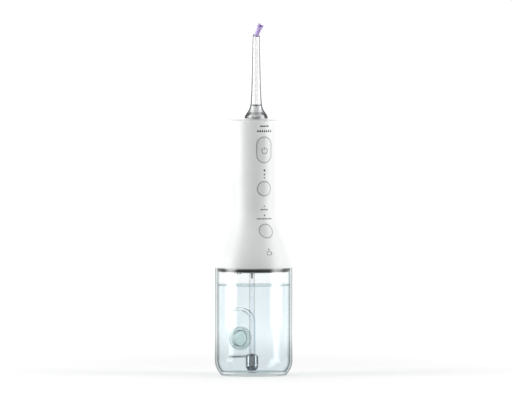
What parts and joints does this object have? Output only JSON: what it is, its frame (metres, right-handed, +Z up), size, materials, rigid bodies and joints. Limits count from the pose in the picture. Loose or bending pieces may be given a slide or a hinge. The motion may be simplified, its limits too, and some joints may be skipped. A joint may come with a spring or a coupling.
{
  "type": "water flosser",
  "caption": "Cordless water flosser: clear cylindrical reservoir, waisted white power handle with front push buttons, and a slim clear turning nozzle with a coloured angled tip.",
  "frame": {"origin": "centre of the base, on the surface the reservoir stands on", "axes": "+Z up along the reservoir axis, -Y towards the buttons, +X to the right seen from the front"},
  "size_m": [0.0692, 0.0692, 0.3089],
  "materials": {
    "clear_tank": "clear moulded SAN, polished",
    "plug_rubber": "moulded silicone rubber",
    "plug_insert": "satin moulded",
    "pin_steel": "ground",
    "white_shell": "satin moulded ABS",
    "inner_plastic": "moulded ABS",
    "seal_rubber": "moulded nitrile",
    "screw_steel": "stainless",
    "clear_silicone": "extruded clear silicone",
    "polished_steel": "polished stainless",
    "chassis_plastic": "moulded ABS",
    "can_steel": "nickel plated",
    "magnet_ferrite": "sintered",
    "endcap_plastic": "moulded",
    "armature_iron": "laminated, varnished",
    "pinion_brass": "hobbed",
    "gear_plastic": "moulded acetal",
    "pump_plastic": "moulded polypropylene",
    "valve_silicone": "moulded silicone",
    "cell_wrap": "shrink sleeve",
    "tab_nickel": "rolled nickel strip",
    "board_green": "solder mask",
    "switch_black": "moulded",
    "led_white": "moulded",
    "lens_smoke": "polished",
    "button_grey": "satin moulded",
    "cover_rubber": "moulded TPE",
    "white_core": "satin moulded",
    "clear_nozzle": "clear moulded, polished",
    "purple_tip": "tinted moulded"
  },
  "bodies": {
    "reservoir": {"reservoir_tank": "clear_tank", "door_hinge_pin": "pin_steel"},
    "fill_door": {"fill_door": "clear_tank", "fill_plug": "plug_rubber", "plug_cap": "plug_insert"},
    "handle": {"handle_shell": "white_shell", "top_cap": "white_shell", "base_plate": "inner_plastic", "base_seal": "seal_rubber", "tank_gasket": "seal_rubber", "base_screws": "screw_steel", "inlet_nipple": "inner_plastic", "suction_hose": "clear_silicone", "filter_weight": "polished_steel", "filter_cap": "polished_steel", "chassis": "chassis_plastic", "motor_can": "can_steel", "motor_magnets": "magnet_ferrite", "motor_endcap": "endcap_plastic", "gear_axle": "pin_steel", "pump_cylinder": "pump_plastic", "pump_head": "pump_plastic", "head_screws": "screw_steel", "inlet_valve": "valve_silicone", "outlet_valve": "valve_silicone", "inlet_tube": "clear_silicone", "outlet_tube": "clear_silicone", "battery_cell": "cell_wrap", "battery_tabs": "tab_nickel", "circuit_board": "board_green", "board_screws": "screw_steel", "tact_switches": "switch_black", "indicator_leds": "led_white", "indicator_lenses": "lens_smoke", "port_frame": "inner_plastic", "charge_port": "can_steel", "nozzle_socket": "inner_plastic"},
    "motor_rotor": {"motor_shaft": "pin_steel", "motor_armature": "armature_iron", "pinion": "pinion_brass"},
    "crank": {"drive_gear": "gear_plastic"},
    "piston": {"piston_yoke": "gear_plastic", "piston_seal": "seal_rubber"},
    "power_button": {"power_button": "button_grey"},
    "pressure_button": {"pressure_button": "button_grey"},
    "mode_button": {"mode_button": "button_grey"},
    "nozzle_release": {"nozzle_release": "button_grey"},
    "port_cover": {"port_cover": "cover_rubber"},
    "collar": {"turning_collar": "inner_plastic", "collar_seal": "seal_rubber"},
    "nozzle": {"nozzle_core": "white_core", "stem_seal": "seal_rubber", "nozzle_body": "clear_nozzle", "nozzle_tip": "purple_tip"}
  },
  "joints": [
    {"name": "handle_lift", "type": "slide", "parent": "reservoir", "child": "handle", "axis": [0, 0, 1], "range_m": [0, 0.1]},
    {"name": "fill_door_hinge", "type": "hinge", "parent": "reservoir", "child": "fill_door", "pos_m": [0, 0.0295, 0.015], "axis": [-1, 0, 0], "range_deg": [0, 90]},
    {"name": "pump_crank", "type": "hinge", "parent": "handle", "child": "crank", "pos_m": [0, -0.005, 0.112], "axis": [0, 0, 1], "continuous": true},
    {"name": "motor_spin", "type": "hinge", "parent": "handle", "child": "motor_rotor", "pos_m": [0, 0.01, 0.125], "axis": [0, 0, 1], "continuous": true},
    {"name": "pump_stroke", "type": "slide", "parent": "handle", "child": "piston", "axis": [1, 0, 0], "range_m": [-0.002, 0.002]},
    {"name": "power_press", "type": "slide", "parent": "handle", "child": "power_button", "axis": [0, 1, 0], "range_m": [0, 0.0006], "stiffness_N_per_m": 1500},
    {"name": "pressure_press", "type": "slide", "parent": "handle", "child": "pressure_button", "axis": [0, 1, 0], "range_m": [0, 0.0006], "stiffness_N_per_m": 1500},
    {"name": "mode_press", "type": "slide", "parent": "handle", "child": "mode_button", "axis": [0, 0.9478, -0.3188], "range_m": [0, 0.0006], "stiffness_N_per_m": 1500},
    {"name": "nozzle_release_press", "type": "slide", "parent": "handle", "child": "nozzle_release", "axis": [0, -1, 0], "range_m": [0, 0.0015], "stiffness_N_per_m": 1500},
    {"name": "port_cover_hinge", "type": "hinge", "parent": "handle", "child": "port_cover", "pos_m": [0, 0.02967, 0.12192], "axis": [-1, 0, 0], "range_deg": [0, 120]},
    {"name": "nozzle_turn", "type": "hinge", "parent": "handle", "child": "collar", "pos_m": [0, -0.0052, 0.22], "axis": [0, 0, 1], "continuous": true},
    {"name": "nozzle_pull", "type": "slide", "parent": "collar", "child": "nozzle", "axis": [0, 0, 1], "range_m": [0, 0.022]}
  ],
  "couplings": [
    {"joint": "pump_crank", "follows": "motor_spin", "ratio": -0.25}
  ]
}
